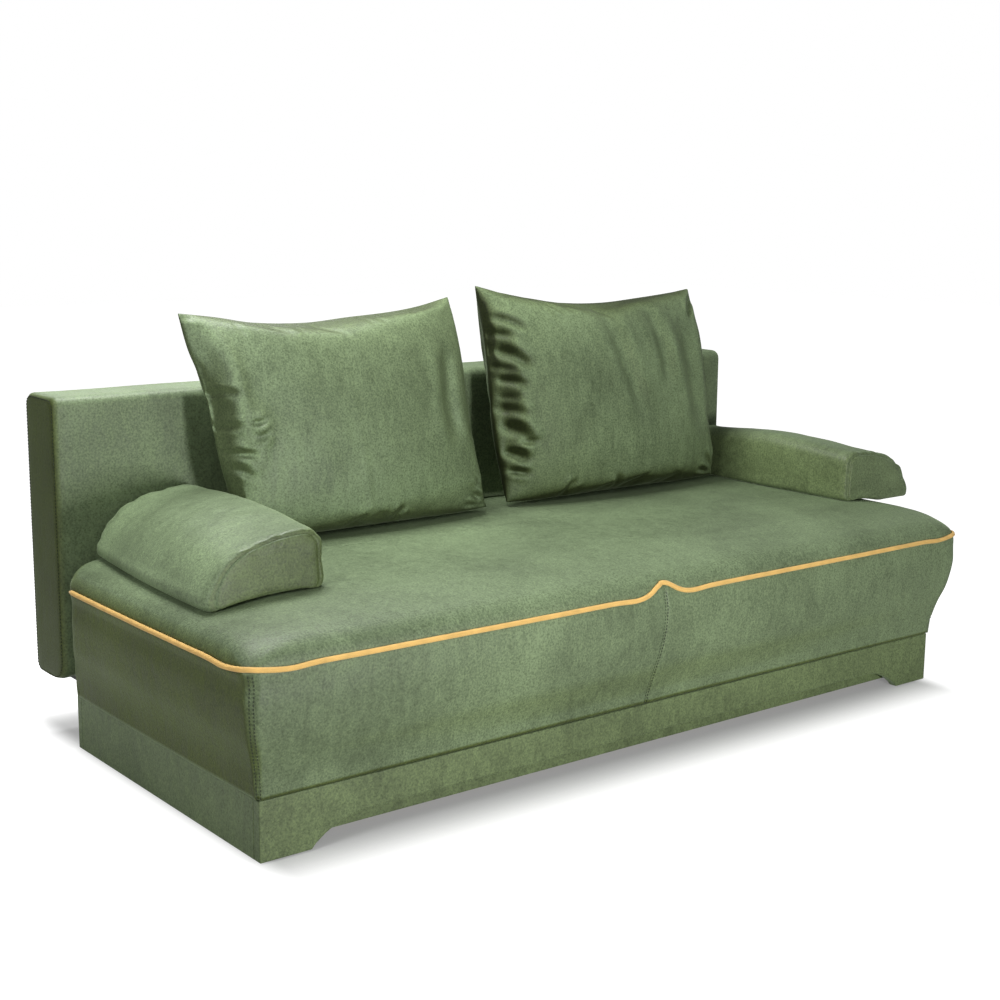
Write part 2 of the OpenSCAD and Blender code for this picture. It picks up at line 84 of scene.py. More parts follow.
def refine(points, cuts, closed=False):
    """Smooth curve through points, whose first axis runs along it, cut at (interval, fraction)."""
    p = np.asarray(points, float)
    if closed:
        p = np.concatenate([p[-1:], p, p[:2]])
    else:
        p = np.concatenate([2 * p[:1] - p[1:2], p, 2 * p[-1:] - p[-2:-1]])
    h = np.linalg.norm(np.diff(p, axis=0), axis=-1, keepdims=True) + 1e-6
    slope = (p[2:] - p[:-2]) / (h[1:] + h[:-1])
    j = cuts[:, 0].astype(int)
    t = cuts[:, 1].reshape([-1] + [1] * (p.ndim - 1))
    a, b, chord = p[1 + j], p[2 + j], h[1 + j]
    return ((2 * t**3 - 3 * t**2 + 1) * a + (t**3 - 2 * t**2 + t) * chord * slope[j]
            + (3 * t**2 - 2 * t**3) * b + (t**3 - t**2) * chord * slope[j + 1])


def cuts_of(points, step, closed=False):
    """Cuts about step apart along points, where step may be a function of the place."""
    p = np.asarray(points, float)
    ends = np.roll(p, -1, axis=0) if closed else p[1:]
    cuts = []
    for j, end in enumerate(ends):
        gap = step((p[j] + end) / 2) if callable(step) else step
        count = max(1, round(float(np.linalg.norm(end - p[j])) / gap))
        cuts += [(j, k / count) for k in range(count)]
    if not closed:
        cuts.append((len(p) - 2, 1.0))
    return np.array(cuts, float)


def travel_along(line):
    """Distance along a line at each of its points."""
    return np.concatenate([[0], np.cumsum(np.linalg.norm(np.diff(line, axis=0), axis=1))])


def unit(vectors):
    """Vectors in the rows of an array, brought to a length of one."""
    return vectors / np.linalg.norm(vectors, axis=-1, keepdims=True)


def refine_rings(rings, sample, step):
    """Closed rings with more points round them, about step apart on the ring number sample."""
    cuts = cuts_of(rings[sample], step, closed=True)
    return refine(rings.transpose(1, 0, 2), cuts, closed=True).transpose(1, 0, 2)


def cad_loop(node, value, axis):
    """Corners of a CAD node on the plane where axis has that value, in order round their middle."""
    co = corners_mm(node)
    co = co[np.abs(co[:, axis] - value) < 0.2]
    a, b = [k for k in range(3) if k != axis]
    co = np.unique(np.round(co, 2), axis=0)
    middle = (co.min(0) + co.max(0)) / 2
    angle = np.arctan2(co[:, a] - middle[a], co[:, b] - middle[b])
    return co[np.argsort(angle)]


def grid_faces(rows, columns, closed):
    """Quads of a grid of rows by columns, whose columns may close into a ring."""
    wide = columns if closed else columns - 1
    i, j = np.meshgrid(np.arange(rows - 1), np.arange(wide), indexing="ij")
    a = i * columns + j
    b = i * columns + (j + 1) % columns
    return np.stack([a, b, b + columns, a + columns], -1).reshape(-1, 4)


def make_mesh(name, points, faces, smooth=True):
    """Object from points in millimetres and faces, with doubled points joined."""
    places = (np.asarray(points) * MM + ORIGIN).tolist()
    mesh = bpy.data.meshes.new(name)
    mesh.from_pydata(places, [], [list(map(int, f)) for f in faces])
    work = bmesh.new()
    work.from_mesh(mesh)
    wide = [f for f in work.faces if len(f.verts) > LARGEST_FACE]
    bmesh.ops.triangulate(work, faces=wide, ngon_method="BEAUTY")
    bmesh.ops.remove_doubles(work, verts=work.verts, dist=JOINED_WITHIN)
    bmesh.ops.dissolve_degenerate(work, edges=work.edges, dist=SHORTEST_EDGE)
    bmesh.ops.recalc_face_normals(work, faces=work.faces)
    if work.calc_volume(signed=True) < 0:
        bmesh.ops.reverse_faces(work, faces=work.faces)
    work.to_mesh(mesh)
    work.free()
    mesh.polygons.foreach_set("use_smooth", [smooth] * len(mesh.polygons))
    obj = bpy.data.objects.new(name, mesh)
    bpy.context.scene.collection.objects.link(obj)
    return obj


def skin(name, rings):
    """Object lofted over closed rings of equal length, with its ends closed."""
    rings = np.asarray(rings, float)
    rows, columns = rings.shape[:2]
    faces = grid_faces(rows, columns, True).tolist()
    for row in (0, rows - 1):
        faces.append([row * columns + j for j in range(columns)])
    return make_mesh(name, rings.reshape(-1, 3), faces)


def set_points(obj, points):
    """Moves the points of an object to places in the same millimetres."""
    obj.data.vertices.foreach_set("co", (points * MM + ORIGIN).ravel())
    obj.data.update()


def ripple(points, size, seed, stretch=(1, 1, 1)):
    """Soft noise from -1 to 1 at each point, with hills about size millimetres wide."""
    p = points / size * np.array(stretch) + seed * SEED_STEP
    return np.array([noise.noise(Vector(q)) for q in p.reshape(-1, 3)]).reshape(p.shape[:-1])


def bump(d, width):
    """Smooth hill of height one at a distance of zero."""
    return np.exp(-((d / width) ** 2))


def tube(name, path, radii, sides, end_share=0.7):
    """Round tube along a path, a little thinner at its ends."""
    along = unit(np.gradient(path, axis=0))
    side = unit(np.cross(along, [0, 0, 1]))
    up = np.cross(side, along)
    r = np.array(radii, float)
    r[[0, -1]] *= end_share
    turn = np.arange(sides) * 2 * math.pi / sides
    rings = (path[:, None] + side[:, None] * (r[:, None] * np.cos(turn))[..., None]
             + up[:, None] * (r[:, None] * np.sin(turn))[..., None])
    return skin(name, rings)


def stitches(name, lines, length=4.6, gap=2.6, radius=1.0, end_share=0.45):
    """Row of short thread stitches along each line, half sunk in the cloth."""
    points, faces = [], []
    sides, steps = 6, 4
    turn = np.arange(sides) * 2 * math.pi / sides
    aslant = (0.3, 0.2, 0.93)
    for line in lines:
        line = np.asarray(line, float)
        reach = travel_along(line)
        for start in np.arange(1.0, reach[-1] - length, length + gap):
            s = np.linspace(start, start + length, steps)
            mid = np.stack([np.interp(s, reach, line[:, k]) for k in range(3)], 1)
            along = mid[-1] - mid[0]
            along /= np.linalg.norm(along)
            side = np.cross(along, aslant)
            side /= np.linalg.norm(side)
            up = np.cross(side, along)
            base = len(points)
            for k, centre in enumerate(mid):
                r = radius * (end_share if k in (0, steps - 1) else 1.0)
                points += [centre + r * (side * math.cos(a) + up * math.sin(a)) for a in turn]
            faces += (grid_faces(steps, sides, True) + base).tolist()
            faces.append(list(range(base + sides - 1, base - 1, -1)))
            faces.append(list(range(base + (steps - 1) * sides, base + steps * sides)))
    return make_mesh(name, np.array(points), faces)


def boxes_of(pairs):
    """Points and faces of boxes given by their low and high corners."""
    box_faces = ([0, 1, 3, 2], [4, 6, 7, 5], [0, 4, 5, 1], [2, 3, 7, 6], [0, 2, 6, 4], [1, 5, 7, 3])
    points, faces = [], []
    for a, b in pairs:
        base = len(points)
        points += [(x, y, z) for x in (a[0], b[0]) for y in (a[1], b[1]) for z in (a[2], b[2])]
        faces += [[base + k for k in f] for f in box_faces]
    return points, faces


def bake(obj):
    """Applies the modifiers of an object to its mesh."""
    graph = bpy.context.evaluated_depsgraph_get()
    mesh = bpy.data.meshes.new_from_object(obj.evaluated_get(graph))
    obj.modifiers.clear()
    old, obj.data = obj.data, mesh
    bpy.data.meshes.remove(old)


# -------- materials


class Nodes:
    """Adds nodes to a tree, and links them."""

    def __init__(self, tree):
        self.tree = tree

    def add(self, kind, **values):
        node = self.tree.nodes.new(kind)
        for key, value in values.items():
            setattr(node, key, value)
        return node

    def link(self, a, b):
        self.tree.links.new(a, b)

    def fix(self, node, **values):
        """Sets sockets of a node, with _ for a space in their names."""
        for key, value in values.items():
            node.inputs[key.replace("_", " ")].default_value = value
        return node

    def enter(self, sockets, values):
        """Links each socket to a value from another node, or sets it to a number or a colour."""
        for socket, value in zip(sockets, values):
            if isinstance(value, bpy.types.NodeSocket):
                self.link(value, socket)
            else:
                socket.default_value = (*value, 1) if socket.type == "RGBA" else value

    def vector(self, operation, *values):
        node = self.add("ShaderNodeVectorMath", operation=operation)
        self.enter(node.inputs, values)
        return node.outputs["Value" if operation in ("DOT_PRODUCT", "LENGTH") else "Vector"]

    def math(self, operation, *values):
        node = self.add("ShaderNodeMath", operation=operation)
        self.enter(node.inputs, values)
        return node.outputs[0]

    def ramp(self, value, stops):
        node = self.add("ShaderNodeValToRGB")
        elements = node.color_ramp.elements
        while len(elements) < len(stops):
            elements.new(0.5)
        for element, (at, colour) in zip(elements, stops):
            element.position = at
            element.color = (*colour, 1)
        self.link(value, node.inputs["Fac"])
        return node.outputs["Color"]

    def mixed(self, amount, a, b, blend="MIX"):
        node = self.add("ShaderNodeMix", data_type="RGBA", blend_type=blend)
        colours = [s for s in node.inputs if s.type == "RGBA"]
        self.enter((node.inputs["Factor"], *colours), (amount, a, b))
        return [s for s in node.outputs if s.type == "RGBA"][0]

    def mapped(self, value, shape="LINEAR", **ends):
        """Value mapped between two ranges, whose ends are 0 and 1 unless they are given."""
        node = self.fix(self.add("ShaderNodeMapRange", interpolation_type=shape), **ends)
        self.link(value, node.inputs["Value"])
        return node.outputs["Result"]


class Look(Nodes):
    """Nodes of a new material with a Principled shader, whose textures lie in the object."""

    def __init__(self, name, roughness, **fixed):
        self.material = bpy.data.materials.new(name)
        self.material.use_nodes = True
        super().__init__(self.material.node_tree)
        self.shader = self.tree.nodes["Principled BSDF"]
        self.fix(self.shader, Roughness=roughness, **fixed)
        self.place = self.add("ShaderNodeTexCoord").outputs["Object"]

    def noise(self, scale, detail=2.0, stretch=None, distortion=0.0, rough=0.5):
        place = self.place
        if stretch:
            mapping = self.fix(self.add("ShaderNodeMapping"), Scale=stretch)
            self.link(place, mapping.inputs["Vector"])
            place = mapping.outputs["Vector"]
        node = self.fix(self.add("ShaderNodeTexNoise"), Scale=scale, Detail=detail,
                        Roughness=rough, Distortion=distortion)
        self.link(place, node.inputs["Vector"])
        return node.outputs["Fac"]

    def colour(self, value):
        self.link(value, self.shader.inputs["Base Color"])

    def roughness(self, value, share, least):
        """Roughness of least plus a share of a value."""
        uneven = self.math("ADD", self.math("MULTIPLY", value, share), least)
        self.link(uneven, self.shader.inputs["Roughness"])

    def relief(self, *layers):
        """Bump from (height, strength, distance in metres) layers, one over the other."""
        normal = None
        for height, strength, distance in layers:
            node = self.fix(self.add("ShaderNodeBump"), Strength=strength, Distance=distance)
            self.link(height, node.inputs["Height"])
            if normal:
                self.link(normal, node.inputs["Normal"])
            normal = node.outputs["Normal"]
        self.link(normal, self.shader.inputs["Normal"])


def scaled(colour, k):
    """Colour made lighter or darker."""
    return tuple(c * k for c in colour)


def velvet(name, pile, painted_light_axis, patchy=0.6, lie=(1, 1, 0.35), turn=0.0, painted_shade_warmth=1.0, sheen=0.35,
           painted_light_facing=(-0.1, -0.93, 0.35), turned=0.5, unshaded_cosine=1.0):
    """Short-pile velvet, brushed into tone patches and into fine streaks along its lie.

    Painted light and shade, set piece by piece for how the lamps fall on it: the tone grows
    where the surface faces along painted_light_axis, and it falls by the share turn as the surface
    leaves the line of painted_light_facing, from a cosine of unshaded_cosine down to turned. Where
    it is darker it is warmer too, by the power painted_shade_warmth.
    """
    m = Look(name, 0.5, Sheen_Weight=sheen, Sheen_Roughness=0.35, Specular_IOR_Level=sheen,
             Sheen_Tint=(0.62, 0.8, 0.48, 1))
    patches = m.noise(3.4, detail=3.0, distortion=0.5)
    strokes = m.noise(48.0, detail=4.0, stretch=lie, distortion=0.5, rough=0.62)
    hair = m.noise(230.0, detail=3.0, rough=0.7)
    weave = m.noise(900.0, detail=1.0)
    brushed = m.math("ADD", m.math("MULTIPLY", patches, patchy),
                     m.math("MULTIPLY", strokes, 1 - patchy))
    body = m.ramp(brushed, [(0.34, scaled(pile, 0.68)), (0.5, pile), (0.66, scaled(pile, 1.28))])
    speck = m.ramp(hair, [(0.32, (0.5, 0.52, 0.44)), (0.5, (1, 1, 1)), (0.68, (1.42, 1.4, 1.3))])
    body = m.mixed(0.8, body, speck, "MULTIPLY")
    # Painted light and shade: the tone below comes from the normal against fixed directions rather
    # than from the lamps, so sides turned away come out darker and warmer.
    normal = m.add("ShaderNodeTexCoord").outputs["Normal"]
    lean = m.vector("DOT_PRODUCT", normal, painted_light_axis)
    level = m.math("ABSOLUTE", m.vector("DOT_PRODUCT", normal, painted_light_facing))
    painted_shade_falloff = m.mapped(level, From_Min=turned, From_Max=unshaded_cosine, To_Min=1 - turn)
    tone = m.math("MULTIPLY", m.math("ADD", lean, 1.0), painted_shade_falloff)
    painted_shade_blue = m.math("MULTIPLY", tone, m.math("POWER", m.math("MINIMUM", tone, 1.0), painted_shade_warmth))
    shade = m.add("ShaderNodeCombineColor")
    for key, value in (("Red", tone), ("Green", tone), ("Blue", painted_shade_blue)):
        m.link(value, shade.inputs[key])
    m.colour(m.mixed(1.0, body, shade.outputs["Color"], "MULTIPLY"))
    m.roughness(strokes, 0.3, 0.36)
    m.relief((strokes, 0.22, 0.0018), (hair, 0.5, 0.0014), (weave, 0.2, 0.0004))
    return m.material


def wood(name, light, dark, along):
    """Planed timber with its grain along one axis."""
    across_grain, along_grain = 34.0, 2.2
    stretch = [across_grain] * 3
    stretch[along] = along_grain
    m = Look(name, 0.55, Specular_IOR_Level=0.35)
    rings = m.noise(1.0, detail=5.0, stretch=stretch, distortion=1.6, rough=0.62)
    pores = m.noise(9.0, detail=3.0, stretch=stretch)
    body = m.ramp(rings, [(0.28, dark), (0.52, light), (0.8, scaled(light, 1.08))])
    m.colour(m.mixed(m.math("MULTIPLY", pores, 0.35), body, dark))
    m.roughness(pores, 0.25, 0.42)
    m.relief((rings, 0.2, 0.0008), (pores, 0.25, 0.0003))
    return m.material


def steel(name, colour, roughness, metallic, scratch=0.35):
    """Pressed steel with a coat, worn a little at random."""
    m = Look(name, roughness, Metallic=metallic)
    streaks = m.noise(60.0, detail=4.0, stretch=(1, 6, 1), distortion=0.4, rough=0.7)
    spots = m.noise(14.0, detail=3.0, distortion=0.3)
    dull, bright = scaled(colour, 0.82), scaled(colour, 1.2)
    m.colour(m.ramp(spots, [(0.35, dull), (0.55, colour), (0.75, bright)]))
    m.roughness(streaks, scratch, roughness - scratch / 2)
    m.relief((streaks, 0.12, 0.0003))
    return m.material


def foam_look(name, colour):
    """Open-cell foam."""
    m = Look(name, 0.9, Specular_IOR_Level=0.2)
    cells = m.fix(m.add("ShaderNodeTexVoronoi"), Scale=520.0)
    m.link(m.place, cells.inputs["Vector"])
    shade = m.noise(7.0, detail=3.0)
    m.colour(m.ramp(shade, [(0.3, scaled(colour, 0.86)), (0.7, colour)]))
    m.relief((cells.outputs["Distance"], 0.6, 0.0012))
    return m.material


def moulded(name, colour, roughness):
    """Moulded plastic with a fine grain."""
    m = Look(name, roughness, Specular_IOR_Level=0.4)
    grain = m.noise(700.0)
    shade = m.noise(30.0)
    m.colour(m.ramp(shade, [(0.3, scaled(colour, 0.85)), (0.7, scaled(colour, 1.15))]))
    m.roughness(grain, 0.2, roughness - 0.1)
    m.relief((grain, 0.35, 0.0003))
    return m.material


def cord_cloth(name, colour):
    """Plain woven cloth round a piping cord, with twill ribs across it."""
    m = Look(name, 0.7, Sheen_Weight=0.35, Sheen_Roughness=0.4, Specular_IOR_Level=0.25,
             Sheen_Tint=(1.0, 0.86, 0.6, 1))
    ribs = m.add("ShaderNodeTexWave", bands_direction="DIAGONAL")
    m.fix(ribs, Scale=130.0, Distortion=1.2)
    m.link(m.place, ribs.inputs["Vector"])
    shade = m.noise(40.0, detail=3.0)
    body = m.ramp(shade, [(0.3, scaled(colour, 0.88)), (0.7, scaled(colour, 1.08))])
    m.colour(m.mixed(m.math("MULTIPLY", ribs.outputs["Fac"], 0.2), body, scaled(colour, 0.7)))
    m.relief((ribs.outputs["Fac"], 0.4, 0.0006), (m.noise(900.0, detail=1.0), 0.3, 0.0003))
    return m.material


GREEN = (0.132, 0.178, 0.098)
PLINTH_GREEN = (0.126, 0.17, 0.084)
# Velvets with painted light and shade: painted_light_axis, turn, painted_light_facing and the
# cosines darken the sides of each piece that the lamps leave in shade. The pillows' and bolsters'
# piles are the same green made lighter piece by piece for how much light reaches each, so left and
# right are lit and shaded copies of one velvet.
VELVETS_AND_PAINTED_SHADE = {
    "seat_velvet": dict(pile=GREEN, painted_light_axis=(0.05, 0.02, 0.05), turn=0.52, painted_shade_warmth=1.3, sheen=0.28,
                        painted_light_facing=(0, -0.7, 0.7), turned=0.05, unshaded_cosine=0.5),
    "back_velvet": dict(pile=GREEN, painted_light_axis=(0.66, 0.03, 0.1), patchy=0.65),
    "pillow_left": dict(pile=scaled(GREEN, 1.28), painted_light_axis=(-0.55, 0.04, -0.2), lie=(1, 1, 0.3),
                        turn=0.66, painted_shade_warmth=0.3, sheen=0.28, unshaded_cosine=0.85),
    "pillow_right": dict(pile=scaled(GREEN, 1.25), painted_light_axis=(0.4, 0, -0.1), lie=(1, 1, 0.3),
                         turn=0.85, painted_shade_warmth=0.3, sheen=0.2),
    "bolster_left": dict(pile=scaled(GREEN, 1.05), painted_light_axis=(-0.34, 0.26, 0.06), lie=(0.35, 1, 1)),
    "bolster_right": dict(pile=scaled(GREEN, 1.12), painted_light_axis=(0.22, 0.1, 0.02), lie=(0.35, 1, 1)),
    "plinth_velvet": dict(pile=PLINTH_GREEN, painted_light_axis=(0, 0.12, 0), patchy=0.55),
}
LOOKS = {
    **{name: velvet(name, **values) for name, values in VELVETS_AND_PAINTED_SHADE.items()},
    "piping": cord_cloth("piping", (0.72, 0.45, 0.14)),
    "foam": foam_look("foam", (0.75, 0.7, 0.5)),
    "frame_wood": wood("frame_wood", (0.62, 0.44, 0.25), (0.42, 0.27, 0.14), 0),
    "slat_wood": wood("slat_wood", (0.7, 0.53, 0.32), (0.5, 0.34, 0.18), 1),
    "board": wood("board", (0.5, 0.38, 0.24), (0.36, 0.25, 0.15), 0),
    "black_steel": steel("black_steel", (0.03, 0.03, 0.032), 0.45, 0.6),
    "zinc_steel": steel("zinc_steel", (0.56, 0.57, 0.58), 0.34, 1.0),
    "screw_zinc": steel("screw_zinc", (0.7, 0.6, 0.36), 0.3, 1.0, 0.2),
    "glide_plastic": moulded("glide_plastic", (0.02, 0.02, 0.02), 0.5),
    "thread": moulded("thread", (0.022, 0.03, 0.016), 0.7),
}


def finish_as(obj, look):
    """Gives an object one look, in a slot of that name."""
    obj.data.materials.clear()
    obj.data.materials.append(LOOKS[look])


# -------- camera, floor and light

CAMERA_PLACE = (-2316.75, -2800.73, 1189.12)
CAMERA_TURN, CAMERA_TILT, CAMERA_ROLL = -38.3, 10.62, 0.52
CAMERA_LENS = 57.78
SENSOR_WIDTH = 36
MIRRORED_SHARE = 0.15
WORLD_FILL = 0.14

FLOOR_HALF = 14000.0
FLOOR_GREY = (0.5, 0.5, 0.5, 1)
# The floor glows white for the camera away from the part. Near it the glow fades, a painted shadow
# round the footprint on top of the lamps' real shadow.
SHADOW_MIDDLE = (0, 0.1, 0)
SHADOW_HALF = (0.92, 0.46, 0)
SHADOW_SQUEEZE = (2.6, 1, 0)
SHADOW_FADE = 0.2
GLOW_UNDER = 0.2

# Name, place, aim, size in metres and power of each lamp
LAMPS = (
    ("key", (-260, -2800, 440), (-100, 0, 420), (0.4, 0.4), 54),
    ("top", (-450, 430, 2300), (-300, -100, 400), (1.1, 0.6), 54),
    ("rear", (200, 2700, 1900), (0, 0, 400), (2.0, 1.0), 14),
    ("side", (-2800, -900, 1500), (-900, 0, 400), (0.8, 0.8), 24),
)


def make_camera():
    """Camera where the photograph was taken from."""
    a, e, r = (math.radians(v) for v in (CAMERA_TURN, CAMERA_TILT, CAMERA_ROLL))
    back = Vector((math.sin(a) * math.cos(e), -math.cos(a) * math.cos(e), math.sin(e)))
    right = (-back).cross(Vector((0, 0, 1))).normalized()
    up = right.cross(-back)
    right, up = right * math.cos(r) + up * math.sin(r), up * math.cos(r) - right * math.sin(r)
    data = bpy.data.cameras.new("camera")
    data.sensor_width = SENSOR_WIDTH
    data.lens = CAMERA_LENS
    camera = bpy.data.objects.new("camera", data)
    bpy.context.scene.collection.objects.link(camera)
    camera.matrix_world = Matrix((right, up, back)).transposed().to_4x4()
    camera.location = Vector(CAMERA_PLACE) * MM + Vector(ORIGIN)
    bpy.context.scene.camera = camera


def seen_directly(m):
    """One for rays from the camera or through glass and less in a mirror, else nothing."""
    path = m.add("ShaderNodeLightPath").outputs
    mirrored = m.math("MULTIPLY", path["Is Glossy Ray"], MIRRORED_SHARE)
    total = m.math("MAXIMUM", path["Is Camera Ray"], mirrored)
    return m.math("MAXIMUM", total, path["Is Transmission Ray"])


def make_floor():
    """Pale floor whose glow the camera sees, fading to a painted shadow round the part."""
    corners = [(x * FLOOR_HALF, y * FLOOR_HALF, 0) for x, y in ((-1, -1), (1, -1), (1, 1), (-1, 1))]
    floor = make_mesh("floor", corners, [[0, 1, 2, 3]], smooth=False)
    m = Look("floor", 0.9, Base_Color=FLOOR_GREY, Specular_IOR_Level=0.0,
             Emission_Color=(1, 1, 1, 1))
    # Painted shadow: the glow dims to GLOW_UNDER in a squeezed box round the footprint.
    place = m.vector("ABSOLUTE", m.vector("SUBTRACT", m.place, tuple(ORIGIN + SHADOW_MIDDLE)))
    place = m.vector("MAXIMUM", m.vector("SUBTRACT", place, SHADOW_HALF), (0, 0, 0))
    reach = m.vector("LENGTH", m.vector("MULTIPLY", place, SHADOW_SQUEEZE))
    fade = m.mapped(reach, "SMOOTHSTEP", From_Max=SHADOW_FADE, To_Min=GLOW_UNDER)
    glow = m.math("MULTIPLY", seen_directly(m), fade)
    m.link(glow, m.shader.inputs["Emission Strength"])
    floor.data.materials.append(m.material)


def make_world():
    """White all round for the camera, and a faint fill for everything else."""
    world = bpy.data.worlds.new("studio")
    bpy.context.scene.world = world
    world.use_nodes = True
    m = Nodes(world.node_tree)
    background = m.fix(m.tree.nodes["Background"], Color=(1, 1, 1, 1))
    level = m.mapped(seen_directly(m), To_Min=WORLD_FILL)
    m.link(level, background.inputs["Strength"])


def softbox(name, place, aim, size, power):
    """Soft lamp at a place, turned to what it aims at."""
    data = bpy.data.lights.new(name, "AREA")
    data.shape = "RECTANGLE"
    data.size, data.size_y = size
    data.energy = power
    lamp = bpy.data.objects.new(name, data)
    bpy.context.scene.collection.objects.link(lamp)
    place, aim = (Vector(v) * MM + Vector(ORIGIN) for v in (place, aim))
    lamp.location = place
    lamp.rotation_euler = (aim - place).to_track_quat("-Z", "Y").to_euler()


bpy.context.scene.view_settings.view_transform = "Standard"
make_camera()
make_floor()
make_world()
for lamp in LAMPS:
    softbox(*lamp)

# -------- seat

# The piping runs level along the sides, peaks at the middle of the front and lifts at its corners
PIPING_Z, PIPING_PEAK, PIPING_R = 371.0, 23.0, 5.2
PIPING_MIDDLE_X, PIPING_CORNER, PIPING_FRONT_Y = 16, (1000, -415), -380
PIPING_BAND = (335, 410)
PIPING_OUT, PIPING_SIDES = 3.4, 14
# It ends this far to the rear, a little earlier beyond CORNER_FROM_X
PIPING_END_Y, PIPING_CORNER_END_Y, CORNER_FROM_X = 342, 334, 900
# Rings of the CAD: how level one is, where whole ones begin, and the one below the piping
LEVEL_GAP, LOWEST_FULL_RING, SIDE_ROW = 0.4, 170, 8
# Places on the cover: front, rear face, spine that the crown closes to, rim, lower front and dart
FRONT_Y = -433.0
REAR_FACE_Y, REAR_CORNER_X, REAR_EDGE_Z = 322, 951, 156.0
SPINE_X, SPINE_Y = (-500, 530), 86.0
RIM_Y, RIM_Z = 336, (340, 405)
LOW_FRONT_Y, CROWN_Z = -300, 415
DART_X, DART_Y = -6, -372
SEAM_DEPTH, COVER_GAP = 3.4, 1.5
STITCH_SPREADS = (4.2, 4.4, 4.4)


def full_levels(cad, hollow):
    """Heights of the rings that go right round a node's corners, without those of its hollow."""
    levels = []
    for z in np.unique(np.round(cad[:, 2], 1)):
        ring = cad[np.abs(cad[:, 2] - z) < LEVEL_GAP]
        if ring[:, 1].min() < 0 and all(abs(z - h) > 2 for h in hollow):
            if not levels or z - levels[-1] > 1:
                levels.append(float(z))
    return levels


def piping_height(x, y):
    """Height of the piping: a peak at the middle of the front and a small one at each corner."""
    corner_x, corner_y = PIPING_CORNER
    from_corner = np.hypot(np.abs(x - PIPING_MIDDLE_X) - corner_x, y - corner_y)
    peak = PIPING_PEAK * bump(x, 36) - 3 * bump(np.abs(x) - 85, 34)
    lift = 5 * bump(from_corner, 32) - 3 * bump(from_corner - 80, 34)
    return PIPING_Z + 2 + np.where(y < PIPING_FRONT_Y, peak, 0) + lift


def seat_surface():
    """Rings of the CAD's seat cover from its lower edge to the crown, all with as many corners."""
    near_corner = 45
    foam_low, foam_high = box_mm("seat_foam")
    cad = corners_mm("seat_cushion")
    outer = full_levels(cad, (foam_low[2], foam_high[2]))
    whole = [cad_loop("seat_cushion", z, 2) for z in outer if z > LOWEST_FULL_RING]
    low = []
    for z in [z for z in outer if z < LOWEST_FULL_RING]:
        ring = whole[0].copy()
        part = cad[np.abs(cad[:, 2] - z) < LEVEL_GAP]
        reach = np.hypot(*(part[:, :2] - ring[:, None, :2]).transpose(2, 0, 1))
        near = reach.argmin(1)
        close = reach.min(1) < near_corner
        ring[close, :2] = part[near[close], :2]
        ring[:, 2] = z
        low.append(ring)
    return np.array(low + whole)


def grid_normals(rings):
    """Outward normals at the points of closed rings in a row."""
    around = np.roll(rings, -1, axis=1) - np.roll(rings, 1, axis=1)
    along = np.gradient(rings, axis=0)
    n = np.cross(around, along)
    n /= np.linalg.norm(n, axis=2, keepdims=True) + 1e-9
    out = (rings - rings.mean((0, 1))) * n
    return n if out.sum() > 0 else -n


def reach_from(ring_rows, column):
    """Signed distance along each closed ring from a column."""
    gaps = np.linalg.norm(np.roll(ring_rows, -1, axis=1) - ring_rows, axis=2)
    total = gaps.sum(1, keepdims=True)
    s = np.concatenate([np.zeros((len(gaps), 1)), np.cumsum(gaps[:, :-1], axis=1)], axis=1)
    s = s - s[:, column:column + 1]
    return (s + total / 2) % total - total / 2


def line_beside(ring_rows, column, offset):
    """Line across rings that stays offset millimetres from a column."""
    reach = reach_from(ring_rows, column)
    line = []
    for s, ring in zip(reach, ring_rows):
        order = np.argsort(s)
        line.append([np.interp(offset, s[order], ring[order, k]) for k in range(3)])
    return np.array(line)


def piping_crossing(rows, j):
    """Where the piping crosses one column of the seat, or None along the rear."""
    low, high = PIPING_BAND
    part = rows[(rows[:, j, 2] > low) & (rows[:, j, 2] < high), j]
    at_corner = abs(part[:, 0]).max() >= CORNER_FROM_X
    if part[:, 1].max() > (PIPING_CORNER_END_Y if at_corner else PIPING_END_Y):
        return None
    level = part[:, 2] - piping_height(part[:, 0], part[:, 1])
    return np.array([np.interp(0, level, part[:, k]) for k in range(3)])


def seat_rings():
    """Refined rings of the seat cover, and the columns of its three seams: middle, left, right."""

    def along_front(p):
        return 3.5 + 8.5 * min(1.0, abs(p[0]) / 130) if p[1] < LOW_FRONT_Y else 12.0

    def up_the_front(p):
        return 3.0 if abs(p[2] - PIPING_Z - 5) < 32 else 9.0

    wide = refine_rings(seat_surface(), SIDE_ROW + 1, along_front)
    middle = int(np.argmin(np.hypot(wide[SIDE_ROW, :, 0], wide[SIDE_ROW, :, 1] - FRONT_Y)))
    side = refine(wide, cuts_of(wide[:, middle], up_the_front))
    crown = side[-1]
    spine_x = np.clip(crown[:, 0], *SPINE_X)
    spine = np.stack([spine_x, np.full(len(crown), SPINE_Y), crown[:, 2]], 1)
    top = np.array([crown + (spine - crown) * s for s in np.linspace(0, 0.93, 24)[1:]])
    rows = np.concatenate([side, top])
    x, y, z = (rows[..., k] for k in range(3))
    raised = REAR_EDGE_Z + 0.1 * (z - rows[0, 0, 2])
    rear_face = (y > REAR_FACE_Y) & (np.abs(x) < REAR_CORNER_X)
    rows[..., 2] = np.where(rear_face, np.maximum(z, raised), z)
    left = int(np.argmin(x[SIDE_ROW] + y[SIDE_ROW]))
    right = int(np.argmax(x[SIDE_ROW] - y[SIDE_ROW]))
    return rows, (middle, left, right)


